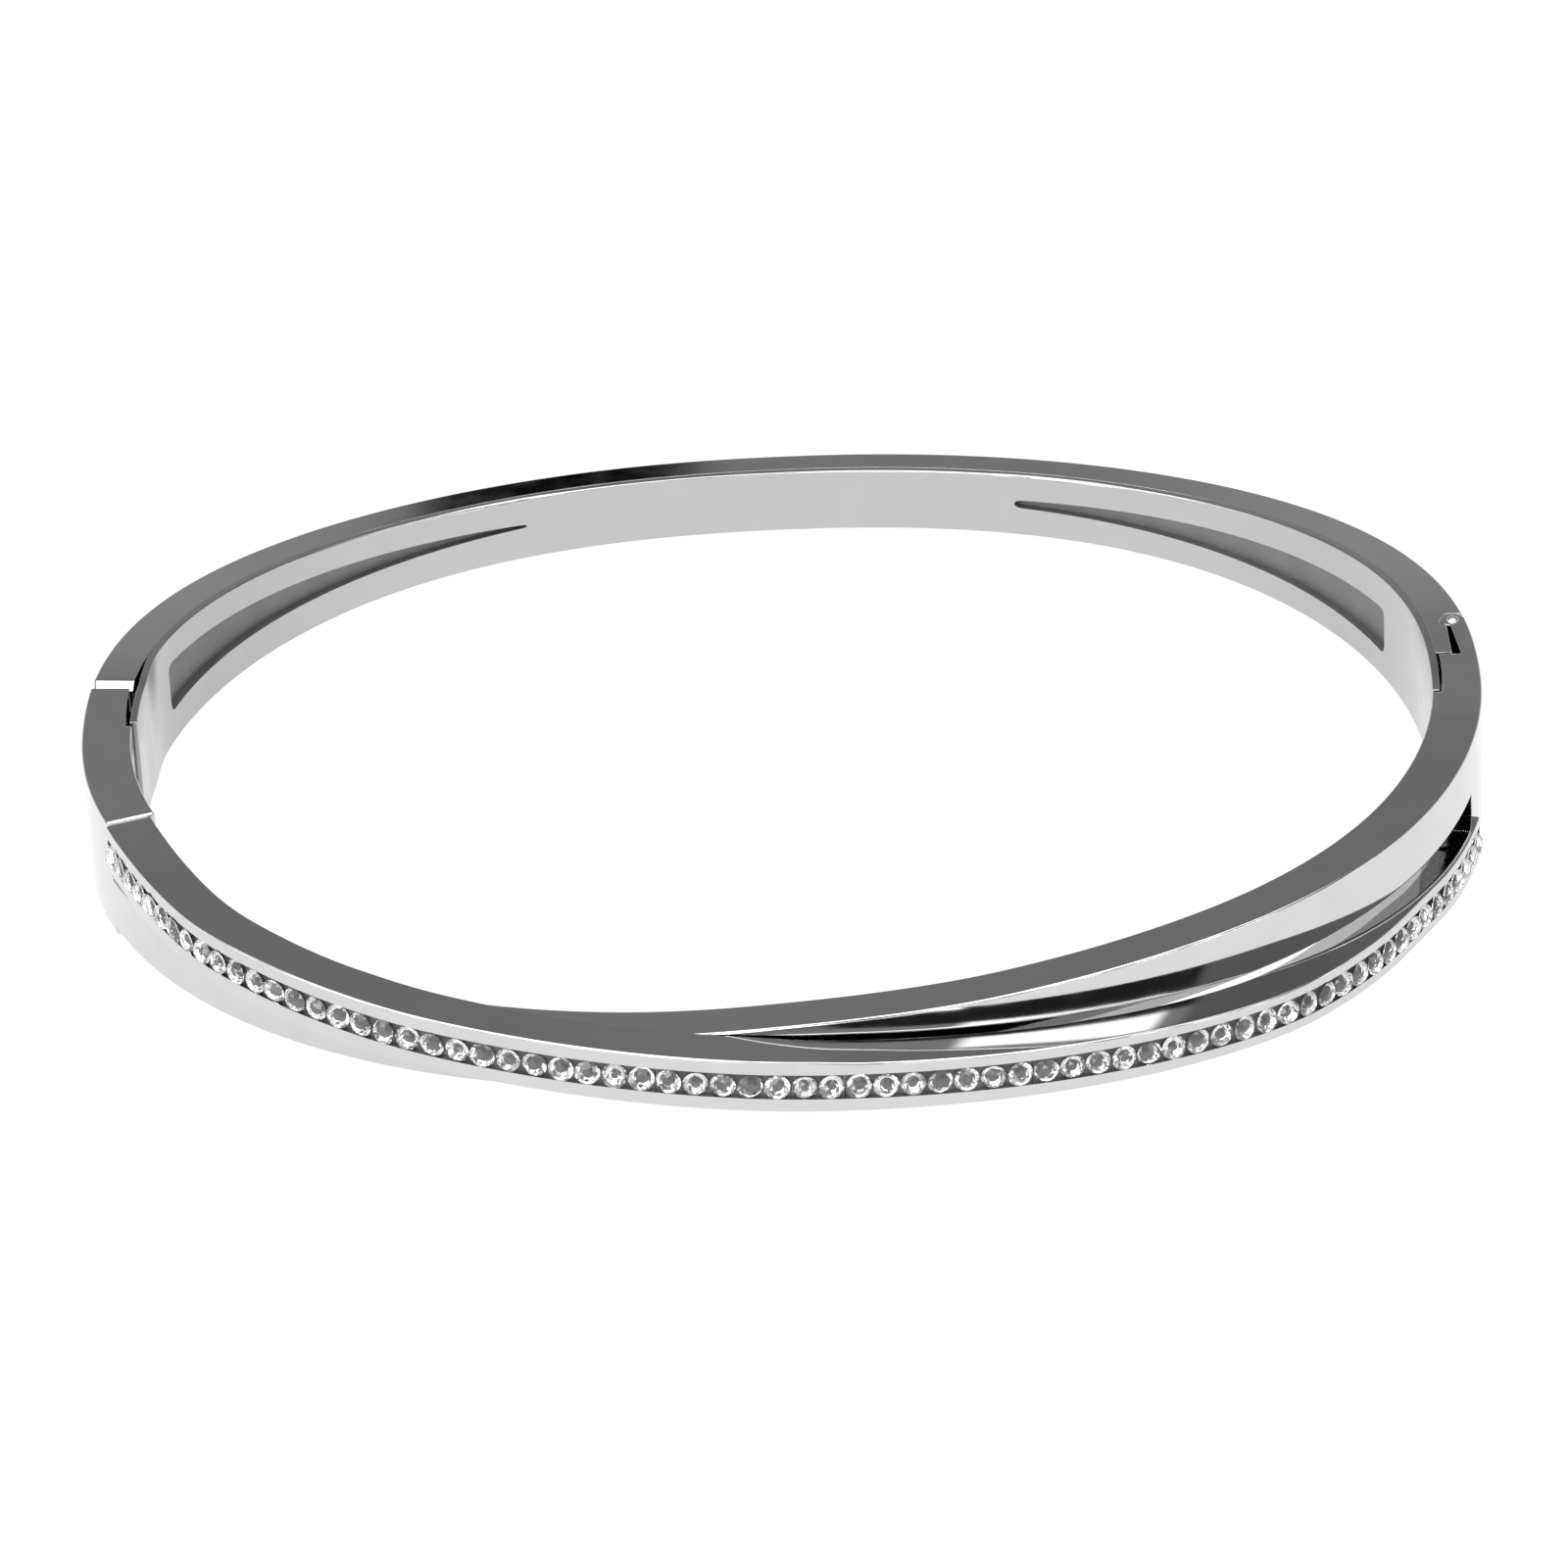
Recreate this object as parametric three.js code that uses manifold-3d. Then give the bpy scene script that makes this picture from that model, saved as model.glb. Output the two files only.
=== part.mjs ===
// Hinged oval bangle, 62 mm across, in polished steel. The back half is a tapered cast band with a
// thin liner plate inside it. The front half is a cast frame, whose plain strip climbs from the
// bottom at the clasp to the top at the hinge, and a channel strip set with round stones, which
// crosses in front of it the other way. Units are millimetres, +Z is up, and +X is the hinge side.
// The origin is on the surface that the bangle lies on, under the middle of its outline.
import * as THREE from "three";
import { mergeVertices } from "three/addons/utils/BufferGeometryUtils.js";
import Module from "manifold-3d";

const wasm = await Module();
wasm.setup();

// ---- driving dimensions -------------------------------------------------------------------
const HALF_WIDTH = 31.0; // outer outline, along X
const HALF_DEPTH = 26.26; // outer outline, along Y
const OUTLINE_POWER = 2.19; // superellipse power of the outline
const OVAL_CENTRE_Y = 1.097; // the front bulges further out than the back, so the oval sits back
const END_HALF_HEIGHT = 2.75; // band half height at the hinge and the clasp
const BACK_HALF_HEIGHT = 1.525; // band half height at the middle of the back
const HEIGHT_POWER = 3.75; // how quickly the band rises towards its ends
const BAND_THICK_BACK = 1.85; // radial thickness at the middle of the back
const BAND_THICK_END = 2.2; // radial thickness at the hinge and the clasp
const EDGE = 0.1; // broken edge of the cast pieces
const LINER = 0.35; // thickness of the liner plate
const SKIN_GAP = 0.05; // brazed gap between the liner and the cast band
const BRAZE_GAP = 0.06; // brazed gap between the channel strip and the frame

const CLASP_BACK_Y = 3.42; // end face of the back half at the clasp
const CLASP_FRONT_Y = 3.14; // end face of the front half at the clasp
const CLASP_BEVEL = 0.28; // bevel on the back half's clasp end
const LEAF_CLASP_Y = -0.3; // tip of the liner's lap leaf at the clasp
const LEAF_HINGE_Y = -2.9; // tip of the liner's lap leaf at the hinge

const PIN = { x: 30.2, y: 3.8, r: 0.28, bore: 0.33, knuckle: 0.55, clear: 0.66 };
const KNUCKLE_SPLIT = 0.95; // half height of the middle knuckle, plus half its clearance
const KNUCKLE_GAP = 0.1; // axial clearance between knuckles
const STEP_Y = 4.5; // where the back half steps in behind the hinge
const TONGUE_X = 29.88; // outer face of the back half's hinge tongue
const TONGUE_END_Y = 0.8; // end of the hinge tongue
const FLANGE_ROOT_Y = 0.5; // shoulder of the front half's hinge flange

const STRIP_HEIGHT = 2.5; // plain strip
const LEFT_BLOCK_END = -161.7; // degrees round the oval
const RIGHT_BLOCK_END = -14.8;
const CHANNEL = { from: -161.55, to: -15.2, depth: 0.95, end: 0.25, firstStone: 1.45 };
const STONE = { r: 0.55, pitch: 1.125, table: 0.31, crown: 0.17, girdle: 0.05, pavilion: 0.42 };
const STONES_PER_RUN = 7;

// Tables against the angle round the oval, in degrees (0 is the hinge side, -90 the front).
const PLAIN_TOP = [[-162, 0.05], [-150, 0.03], [-140, 0.03], [-130, 0.05], [-120, 0.1], [-108, 0.24], [-99, 0.42],
  [-91, 0.65], [-82, 0.9], [-73, 1.15], [-64, 1.48], [-54, 1.8], [-44, 2.03], [-33, 2.27], [-25, 2.45], [-17, 2.64], [-10, 2.75]];
const CHANNEL_TOP = [[-162, 2.73], [-152, 2.55], [-144, 2.32], [-138, 2.14], [-132, 1.93], [-124, 1.62], [-116, 1.33],
  [-108, 0.95], [-99, 0.52], [-91, 0.2], [-82, 0.0], [-73, -0.18], [-64, -0.35], [-54, -0.53], [-46, -0.64], [-38, -0.7], [-28, -0.73], [-17, -0.74]];
const CHANNEL_HEIGHT = [[-162, 2.3], [-140, 2.34], [-110, 2.38], [-85, 2.36], [-65, 2.2], [-50, 2.06], [-38, 2.02], [-17, 2.0]];
const CHANNEL_OUT = [[-162, 0.08], [-157, 0.22], [-152, 0.5], [-144, 1.1], [-138, 1.38], [-132, 1.64], [-124, 1.93], [-116, 2.1],
  [-108, 2.14], [-99, 2.14], [-91, 2.12], [-82, 2.12], [-73, 2.12], [-64, 2.12], [-54, 2.12], [-46, 1.98], [-38, 1.42],
  [-29.5, 0.76], [-24.2, 0.64], [-18.3, 0.48], [-15, 0.4]];
// The channel is a little thinner where it stands clear in front of the plain strip.
const CHANNEL_THICK = [[-95, 2.05], [-84, 1.84], [-50, 1.82], [-40, 2.05]];

// ---- the oval -----------------------------------------------------------------------------
const rad = (d) => (d * Math.PI) / 180;
// Point at an angle round the oval, moved out by u along the outline's normal, at height z.
function onOval(deg, u, z) {
  const c = Math.cos(rad(deg)), s = Math.sin(rad(deg)), p = OUTLINE_POWER;
  const r = (Math.abs(c / HALF_WIDTH) ** p + Math.abs(s / HALF_DEPTH) ** p) ** (-1 / p);
  const gx = (Math.sign(c) * Math.abs((r * c) / HALF_WIDTH) ** (p - 1)) / HALF_WIDTH;
  const gy = (Math.sign(s) * Math.abs((r * s) / HALF_DEPTH) ** (p - 1)) / HALF_DEPTH;
  const l = Math.hypot(gx, gy);
  return new THREE.Vector3(r * c + (u * gx) / l, r * s + (u * gy) / l, z);
}
// Angle at which the outer outline has this y, on the hinge side or the clasp side.
function angleAt(y, side) {
  let a = 0, b = Math.sign(y) * 60;
  for (let i = 0; i < 50; i++) {
    const m = (a + b) / 2;
    if (Math.abs(onOval(m, 0, 0).y) < Math.abs(y)) a = m;
    else b = m;
  }
  return side === "hinge" ? a : 180 - a;
}
// Smooth curve through a table of [angle, value].
function along(table, deg) {
  const n = table.length;
  if (deg <= table[0][0]) return table[0][1];
  if (deg >= table[n - 1][0]) return table[n - 1][1];
  let i = 0;
  while (deg > table[i + 1][0]) i++;
  const slope = (k) => {
    const a = table[Math.max(k - 1, 0)], b = table[Math.min(k + 1, n - 1)];
    return (b[1] - a[1]) / (b[0] - a[0]);
  };
  const [x0, y0] = table[i], [x1, y1] = table[i + 1], h = x1 - x0, t = (deg - x0) / h;
  return (2 * t ** 3 - 3 * t ** 2 + 1) * y0 + (t ** 3 - 2 * t ** 2 + t) * h * slope(i)
    + (3 * t ** 2 - 2 * t ** 3) * y1 + (t ** 3 - t ** 2) * h * slope(i + 1);
}
const endness = (deg) => Math.abs(onOval(deg, 0, 0).x) / HALF_WIDTH;
const backHalfHeight = (deg) => BACK_HALF_HEIGHT + (END_HALF_HEIGHT - BACK_HALF_HEIGHT) * endness(deg) ** HEIGHT_POWER;
const bandThick = (deg) => BAND_THICK_BACK + (BAND_THICK_END - BAND_THICK_BACK) * endness(deg) ** 2;

// ---- solids -------------------------------------------------------------------------------
function stations(from, to, step) {
  const n = Math.max(1, Math.round(Math.abs(to - from) / step));
  return Array.from({ length: n + 1 }, (_, i) => from + ((to - from) * i) / n);
}
// Closed solid through rings of [u, z] corners, one ring at each angle. Corners run anticlockwise
// in (u, z), and the angles increase.
function sweep(angles, ring) {
  const rings = angles.map((a) => ring(a));
  const m = rings[0].length, pos = [], idx = [];
  angles.forEach((a, i) => rings[i].forEach(([u, z]) => pos.push(...onOval(a, u, z).toArray())));
  for (let i = 0; i + 1 < rings.length; i++)
    for (let j = 0; j < m; j++) {
      const k = (j + 1) % m, a = i * m + j, b = i * m + k, c = (i + 1) * m + j, d = (i + 1) * m + k;
      idx.push(a, c, b, b, c, d);
    }
  const cap = (i) => THREE.ShapeUtils.triangulateShape(rings[i].map(([u, z]) => new THREE.Vector2(u, z)), []);
  for (const [a, b, c] of cap(0)) idx.push(a, b, c);
  const o = (rings.length - 1) * m;
  for (const [a, b, c] of cap(rings.length - 1)) idx.push(o + a, o + c, o + b);
  const g = new THREE.BufferGeometry();
  g.setAttribute("position", new THREE.BufferAttribute(new Float32Array(pos), 3));
  g.setIndex(idx);
  return g;
}
// Rectangle from inner to outer and bottom to top, with broken edges.
function rect(ui, uo, zb, zt, e = EDGE) {
  if (!e) return [[ui, zb], [uo, zb], [uo, zt], [ui, zt]];
  return [[ui + e, zb], [uo - e, zb], [uo, zb + e], [uo, zt - e], [uo - e, zt], [ui + e, zt], [ui, zt - e], [ui, zb + e]];
}
function solid(geometry) {
  const g = geometry.clone();
  for (const name of ["normal", "uv"]) if (g.getAttribute(name)) g.deleteAttribute(name);
  const m = mergeVertices(g, 1e-4);
  const made = new wasm.Manifold(new wasm.Mesh({
    numProp: 3, vertProperties: m.attributes.position.array, triVerts: new Uint32Array(m.index.array),
  }));
  if (made.volume() <= 0) throw new Error("a solid is inside out");
  return made;
}
function geometryOf(made) {
  const m = made.getMesh(), n = m.numProp, v = new Float32Array(m.numVert * 3);
  for (let i = 0; i < m.numVert; i++) v.set(m.vertProperties.subarray(i * n, i * n + 3), i * 3);
  const g = new THREE.BufferGeometry();
  g.setAttribute("position", new THREE.BufferAttribute(v, 3));
  g.setIndex(new THREE.BufferAttribute(new Uint32Array(m.triVerts), 1));
  g.computeVertexNormals();
  return g;
}
const minus = (a, ...tools) => tools.reduce((s, t) => s.subtract(t), a);
const plus = (a, ...more) => more.reduce((s, t) => s.add(t), a);
const arc = (from, to, ring, step = 4) => solid(sweep(stations(from, to, step), ring));
// Upright cylinder at a point in plan.
function post(x, y, r, z0, z1, sides = 24) {
  return solid(new THREE.CylinderGeometry(r, r, z1 - z0, sides).rotateX(Math.PI / 2).translate(x, y, (z0 + z1) / 2));
}
// Upright prism with this plan outline.
function prism(points, z0, z1) {
  const shape = new THREE.Shape(points.map(([x, y]) => new THREE.Vector2(x, y)));
  return solid(new THREE.ExtrudeGeometry(shape, { depth: z1 - z0, bevelEnabled: false }).translate(0, 0, z0));
}
const TALL = 4;

// ---- back half ----------------------------------------------------------------------------
const claspBack = angleAt(CLASP_BACK_Y, "clasp");
const claspFront = angleAt(CLASP_FRONT_Y, "clasp");

// Tapered recesses behind the liner's windows, one towards each end.
const WINDOW_HINGE = [17.2, 64.5], WINDOW_CLASP = [116.5, 164.4];
// Half height and middle of each window; t is 0 at the point and 1 at the wide end.
const windowHalf = (t, wideFirst) => wideFirst ? 0.19 + 0.66 * t + 0.3 * t ** 2 : 0.08 + 0.82 * t + 0.3 * t ** 2;
const windowMid = (t, wideFirst) => wideFirst ? 0.07 - 0.2 * t : 0.13;
function windowCut([a, b], wideFirst, ui, uo, grow) {
  const lo = a - (wideFirst ? grow * 2 : 0), hi = b + (wideFirst ? 0 : grow * 2);
  return arc(lo, hi, (d) => {
    const t = Math.min(1, Math.max(0, wideFirst ? (b - d) / (b - a) : (d - a) / (b - a)));
    const h = windowHalf(t, wideFirst) + grow, m = windowMid(t, wideFirst), T = bandThick(d);
    return rect(ui(T), uo(T), m - h, m + h, 0);
  }, 5);
}
const shellInner = (d) => -bandThick(d) + LINER + SKIN_GAP;
let backShell = solid(sweep([-1.5, ...stations(2.5, claspBack - 1.2, 3), claspBack], (d) => {
  const h = backHalfHeight(Math.max(d, 0));
  const b = d === claspBack ? CLASP_BEVEL : EDGE;
  return rect(shellInner(d), d === claspBack ? -0.12 : 0, -h + (d === claspBack ? b : 0), h - (d === claspBack ? b : 0), EDGE);
}));
backShell = minus(backShell,
  windowCut(WINDOW_HINGE, true, () => -3, (T) => -T + LINER + 0.45, 0.08),
  windowCut(WINDOW_CLASP, false, () => -3, (T) => -T + LINER + 0.45, 0.08),
  // room for the front half's hinge flange and shoulder
  prism([[TONGUE_X, STEP_Y], [34, STEP_Y], [34, -6], [20, -6], [20, TONGUE_END_Y], [TONGUE_X, TONGUE_END_Y]], -TALL, TALL));
const middleKnuckle = plus(
  post(PIN.x, PIN.y, PIN.knuckle, -KNUCKLE_SPLIT + KNUCKLE_GAP / 2, KNUCKLE_SPLIT - KNUCKLE_GAP / 2, 28),
  prism([[29.6, PIN.y], [PIN.x + 0.5, PIN.y], [PIN.x + 0.42, STEP_Y + 0.2], [29.6, STEP_Y + 0.2]], -KNUCKLE_SPLIT + KNUCKLE_GAP / 2, KNUCKLE_SPLIT - KNUCKLE_GAP / 2));
backShell = minus(plus(backShell, middleKnuckle),
  post(PIN.x, PIN.y, PIN.clear, KNUCKLE_SPLIT - KNUCKLE_GAP / 2, TALL, 28),
  post(PIN.x, PIN.y, PIN.clear, -TALL, -KNUCKLE_SPLIT + KNUCKLE_GAP / 2, 28),
  post(PIN.x, PIN.y, PIN.bore, -TALL, TALL, 28),
  // slot that holds the clasp tongue's root, and the two rivet holes across it
  arc(angleAt(7.1, "clasp"), 182, () => rect(-1.57, -1.18, -1.08, 1.08, 0)));

// The liner runs past both ends of the cast band as lap leaves.
const leafHinge = angleAt(LEAF_HINGE_Y, "hinge"), leafClasp = angleAt(LEAF_CLASP_Y, "clasp");
const linerInner = (d) => {
  const t = THREE.MathUtils.smoothstep(d, 166, claspBack - 0.5);
  return -bandThick(d) - 0.22 * t; // the clasp leaf is joggled inwards to clear the front half
};
const linerHalf = (d) => Math.min(backHalfHeight(d), END_HALF_HEIGHT) - 0.02;
let backLiner = arc(leafHinge, leafClasp, (d) => rect(linerInner(d), linerInner(d) + LINER, -linerHalf(d), linerHalf(d), 0.06));
backLiner = minus(backLiner,
  windowCut(WINDOW_HINGE, true, () => -3, () => 1, 0),
  windowCut(WINDOW_CLASP, false, () => -3, () => 1, 0));

// ---- clasp tongue: one folded strip of spring steel, split at its fold so that the leaf can flex
const FOLD_Y = -3.2, FOLD_U = -1.12, FREE_END_Y = 1.5;
const RIVET = { r: 0.22, hole: 0.27, y: 5.9, z: 0.55 };
function across(y, z, r, u0, u1) { // small cylinder along the outline's normal at the clasp side
  const a = angleAt(y, "clasp"), p = onOval(a, u0, z), q = onOval(a, u1, z);
  const g = new THREE.CylinderGeometry(r, r, p.distanceTo(q), 16);
  g.applyQuaternion(new THREE.Quaternion().setFromUnitVectors(new THREE.Vector3(0, 1, 0), q.clone().sub(p).normalize()));
  return solid(g.translate((p.x + q.x) / 2, (p.y + q.y) / 2, (p.z + q.z) / 2));
}
const rivetHoles = [1, -1].map((s) => across(RIVET.y, s * RIVET.z, RIVET.hole, -1.76, -0.78));
backShell = minus(backShell, ...rivetHoles);
const tongueBase = minus(
  arc(angleAt(6.8, "clasp"), angleAt(FOLD_Y, "clasp"), () => rect(-1.5, -1.25, -1.0, 1.0, 0)),
  ...rivetHoles);
const springFree = angleAt(FREE_END_Y, "clasp"), springFold = angleAt(FOLD_Y, "clasp");
const tongueSpring = arc(springFree, springFold, (d) => {
  const t = (springFold - d) / (springFold - springFree), u = FOLD_U + 0.36 * t + 0.1 * Math.sin(Math.PI * t) * t;
  return rect(u - 0.07, u + 0.11, -0.95, 0.95, 0);
}, 1);

// ---- front half ---------------------------------------------------------------------------
const frontAngles = [claspFront - 360, ...stations(-184, LEFT_BLOCK_END, 2), LEFT_BLOCK_END + 0.08,
  ...stations(-160, -17, 3), RIGHT_BLOCK_END - 0.08, RIGHT_BLOCK_END, ...stations(-13, 0, 2), ...stations(1.2, angleAt(PIN.y, "hinge"), 2)];
let frontFrame = solid(sweep(frontAngles, (d) => {
  const T = BAND_THICK_END - 0.1 * (1 - endness(d) ** 2);
  let top = d <= LEFT_BLOCK_END ? END_HALF_HEIGHT : along(PLAIN_TOP, d), bottom = top - STRIP_HEIGHT;
  if (d <= LEFT_BLOCK_END || d >= RIGHT_BLOCK_END) bottom = -END_HALF_HEIGHT;
  return rect(-T, 0, bottom, top);
}));
// A room can narrow along its length: u is its outer face, or a function of the angle.
const leafRoom = (from, to, u) => arc(from, to, (d) => rect(-4, typeof u === "number" ? u : u(d), -TALL, TALL, 0), 1);
frontFrame = minus(frontFrame,
  // hinge end: only the flange is left above the shoulder
  prism([[20, FLANGE_ROOT_Y], [30.3, FLANGE_ROOT_Y], [30.17, PIN.y], [30.17, 9], [20, 9]], -TALL, TALL),
  // room for the liner's lap leaves
  leafRoom(angleAt(LEAF_HINGE_Y - 0.35, "hinge"), 3, -1.66),
  leafRoom(claspFront - 361, angleAt(-0.75, "clasp") - 360, (d) => -1.76 - 0.16 * Math.min(1, (d - claspFront + 360) / (angleAt(-0.75, "clasp") - claspFront))));
frontFrame = plus(frontFrame,
  post(PIN.x, PIN.y, PIN.knuckle, KNUCKLE_SPLIT + KNUCKLE_GAP / 2, END_HALF_HEIGHT, 28),
  post(PIN.x, PIN.y, PIN.knuckle, -END_HALF_HEIGHT, -KNUCKLE_SPLIT - KNUCKLE_GAP / 2, 28));
frontFrame = minus(frontFrame,
  post(PIN.x, PIN.y, PIN.bore, -TALL, TALL, 28),
  prism([[28, 3.0], [33, 3.0], [33, 6], [28, 6]], -KNUCKLE_SPLIT - KNUCKLE_GAP / 2, KNUCKLE_SPLIT + KNUCKLE_GAP / 2),
  // clasp box: a socket for the tongue, and a rebate for its cover plate with a release slot
  arc(claspFront - 361, angleAt(-4.6, "clasp") - 360, () => rect(-1.62, -0.45, -1.2, 1.2, 0), 1),
  arc(angleAt(-1.35, "clasp") - 360, angleAt(-5.95, "clasp") - 360, () => rect(-4, -1.74, -1.9, 1.9, 0), 1));
const coverPlate = arc(angleAt(-1.45, "clasp") - 360, angleAt(-5.35, "clasp") - 360, () => rect(-2.18, -1.82, -1.8, 1.8, 0.05), 1);
const catchPin = post(onOval(angleAt(2.1, "clasp"), -0.3, 0).x, 2.1, 0.14, -1.1, 1.1, 12);
frontFrame = minus(frontFrame, post(onOval(angleAt(2.1, "clasp"), -0.3, 0).x, 2.1, 0.19, -1.2, 1.2, 12));

// ---- channel strip and stones ---------------------------------------------------------------
const channelTop = (d) => along(CHANNEL_TOP, d), channelHeight = (d) => along(CHANNEL_HEIGHT, d), channelOut = (d) => along(CHANNEL_OUT, d);
const channelAngles = stations(CHANNEL.from, CHANNEL.to, 3);
const channelThick = (d) => along(CHANNEL_THICK, d);
const channelBar = (grow) => (d) => {
  const o = channelOut(d), t = channelTop(d);
  return rect(o - channelThick(d) - grow, o + grow, t - channelHeight(d) - grow, t + grow, grow ? 0 : 0.08);
};
let channel = solid(sweep(channelAngles, channelBar(0)));
// The frame is notched where the channel passes through its line, and brazed to it there.
frontFrame = minus(frontFrame, solid(sweep(stations(CHANNEL.from - 0.1, CHANNEL.to, 3), channelBar(BRAZE_GAP))));
const rimOf = (d) => (channelHeight(d) - 2 * STONE.r - 0.16) / 2;
channel = minus(channel, solid(sweep(stations(CHANNEL.from + CHANNEL.end, CHANNEL.to - CHANNEL.end, 3), (d) => {
  const o = channelOut(d), t = channelTop(d), h = channelHeight(d), rim = rimOf(d);
  return rect(o - CHANNEL.depth, o + 1, t - h + rim, t - rim, 0);
})));

// Centre line of the stones, measured so that they sit at an even pitch.
const STONE_SINK = 0.1; // girdle below the rims
const midZ = (d) => channelTop(d) - channelHeight(d) / 2;
const stoneAngles = [];
{
  const from = CHANNEL.from + CHANNEL.firstStone, to = CHANNEL.to - CHANNEL.firstStone, n = 6000, pts = [];
  let length = 0, last = null;
  for (let i = 0; i <= n; i++) {
    const d = from + ((to - from) * i) / n, p = onOval(d, channelOut(d) - STONE_SINK, midZ(d));
    if (last) length += p.distanceTo(last);
    pts.push([length, d]);
    last = p;
  }
  const count = Math.floor(length / STONE.pitch) + 1, pitch = length / (count - 1);
  let k = 0;
  for (let i = 0; i < count; i++) {
    while (k < n && pts[k][0] < i * pitch) k++;
    stoneAngles.push(pts[k][1]);
  }
}
// Outward direction of the channel's mouth, square to its path in plan.
function stoneFrame(d) {
  const a = onOval(d - 0.2, channelOut(d - 0.2), midZ(d - 0.2)), b = onOval(d + 0.2, channelOut(d + 0.2), midZ(d + 0.2));
  const t = b.sub(a).normalize(), n = new THREE.Vector3(t.y, -t.x, 0).normalize();
  return { p: onOval(d, channelOut(d) - STONE_SINK, midZ(d)), n };
}
function stone(d) {
  const { p, n } = stoneFrame(d);
  const profile = [[0, -STONE.pavilion], [STONE.r, -STONE.girdle / 2], [STONE.r, STONE.girdle / 2], [STONE.table, STONE.crown], [0, STONE.crown]]
    .map(([x, y]) => new THREE.Vector2(x, y));
  const g = new THREE.LatheGeometry(profile, 6).applyQuaternion(new THREE.Quaternion().setFromUnitVectors(new THREE.Vector3(0, 1, 0), n));
  return solid(g.translate(p.x, p.y, p.z));
}
// Stones are cemented in short runs, each run on its own bed of cement.
const runs = [];
for (let i = 0; i < stoneAngles.length; i += STONES_PER_RUN) {
  const mine = stoneAngles.slice(i, i + STONES_PER_RUN);
  const before = i ? (stoneAngles[i - 1] + mine[0]) / 2 + 0.09 : mine[0] - 1.0;
  const next = stoneAngles[i + mine.length];
  const after = next ? (mine[mine.length - 1] + next) / 2 - 0.09 : mine[mine.length - 1] + 1.0;
  const bed = arc(before, after, (d) => rect(channelOut(d) - CHANNEL.depth + 0.06, channelOut(d) - STONE_SINK - 0.22, midZ(d) - STONE.r + 0.02, midZ(d) + STONE.r - 0.02, 0), 4);
  runs.push(plus(bed, ...mine.map(stone)));
}

// ---- assembly -------------------------------------------------------------------------------
const steel = new THREE.MeshStandardMaterial({ color: 0xc9cacc, metalness: 1, roughness: 0.12 });
const spring = new THREE.MeshStandardMaterial({ color: 0xb4b5b8, metalness: 1, roughness: 0.28 });
const hard = new THREE.MeshStandardMaterial({ color: 0xbfc0c3, metalness: 1, roughness: 0.2 });
const crystal = new THREE.MeshStandardMaterial({ color: 0xe9edf0, metalness: 0, roughness: 0.03 });

const group = new THREE.Group();
const placed = new THREE.Group();
placed.position.set(0, OVAL_CENTRE_Y, END_HALF_HEIGHT);
group.add(placed);
function add(name, made, material) {
  const mesh = new THREE.Mesh(geometryOf(made), material);
  mesh.name = name;
  placed.add(mesh);
}
add("back_shell", backShell, steel);
add("back_liner", backLiner, steel);
add("clasp_tongue_base", tongueBase, spring);
add("clasp_tongue_spring", tongueSpring, spring);
[1, -1].forEach((s, i) => add(["tongue_rivet_upper", "tongue_rivet_lower"][i], across(RIVET.y, s * RIVET.z, RIVET.r, -1.72, -0.82), hard));
add("hinge_pin", post(PIN.x, PIN.y, PIN.r, -END_HALF_HEIGHT + 0.02, END_HALF_HEIGHT - 0.02, 20), hard);
add("front_frame", frontFrame, steel);
add("clasp_cover_plate", coverPlate, steel);
add("clasp_catch_pin", catchPin, hard);
add("stone_channel", channel, steel);
runs.forEach((r, i) => add("stone_run_" + String(i + 1).padStart(2, "0"), r, crystal));

export default group;
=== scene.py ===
"""Looks for the hinged oval bangle: fine meshes of every piece, polished metal and clear stones, on a pale floor."""

import math
import random

import bpy
import numpy as np
from mathutils import Matrix, Vector


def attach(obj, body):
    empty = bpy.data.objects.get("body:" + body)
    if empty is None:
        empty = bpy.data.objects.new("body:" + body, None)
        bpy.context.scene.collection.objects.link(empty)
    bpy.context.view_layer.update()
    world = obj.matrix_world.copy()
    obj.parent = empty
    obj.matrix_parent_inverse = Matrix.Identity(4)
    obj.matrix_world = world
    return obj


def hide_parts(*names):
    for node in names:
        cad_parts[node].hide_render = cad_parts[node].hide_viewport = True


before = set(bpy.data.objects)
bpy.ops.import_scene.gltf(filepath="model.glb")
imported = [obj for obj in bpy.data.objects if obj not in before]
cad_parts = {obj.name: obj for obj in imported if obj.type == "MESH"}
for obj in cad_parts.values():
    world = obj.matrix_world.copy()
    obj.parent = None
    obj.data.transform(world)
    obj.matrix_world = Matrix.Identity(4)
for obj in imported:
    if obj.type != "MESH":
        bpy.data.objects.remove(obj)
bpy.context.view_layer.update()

# ---- dimensions, in millimetres, in the oval's own frame --------------------------------------
HALF_WIDTH, HALF_DEPTH, OUTLINE_POWER = 31.0, 26.26, 2.19
OVAL_CENTRE_Y, END_HALF_HEIGHT, BACK_HALF_HEIGHT, HEIGHT_POWER = 1.097, 2.75, 1.525, 3.75
BAND_THICK_BACK, BAND_THICK_END = 1.85, 2.2
LINER = 0.35
CLASP_BACK_Y, CLASP_FRONT_Y = 3.42, 3.14
LEAF_CLASP_Y, LEAF_HINGE_Y = -0.3, -2.9
PIN_X, PIN_Y, PIN_R, PIN_BORE, KNUCKLE, KNUCKLE_CLEAR = 30.2, 3.8, 0.28, 0.31, 0.55, 0.6
KNUCKLE_SPLIT, KNUCKLE_GAP = 0.95, 0.1
STEP_Y, TONGUE_X, TONGUE_END_Y, FLANGE_ROOT_Y = 4.5, 29.88, 0.66, 0.5
STRIP_HEIGHT = 2.5
LEFT_BLOCK_END, RIGHT_BLOCK_END = -161.7, -14.8
CH_FROM, CH_TO = -161.55, -15.2
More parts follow.
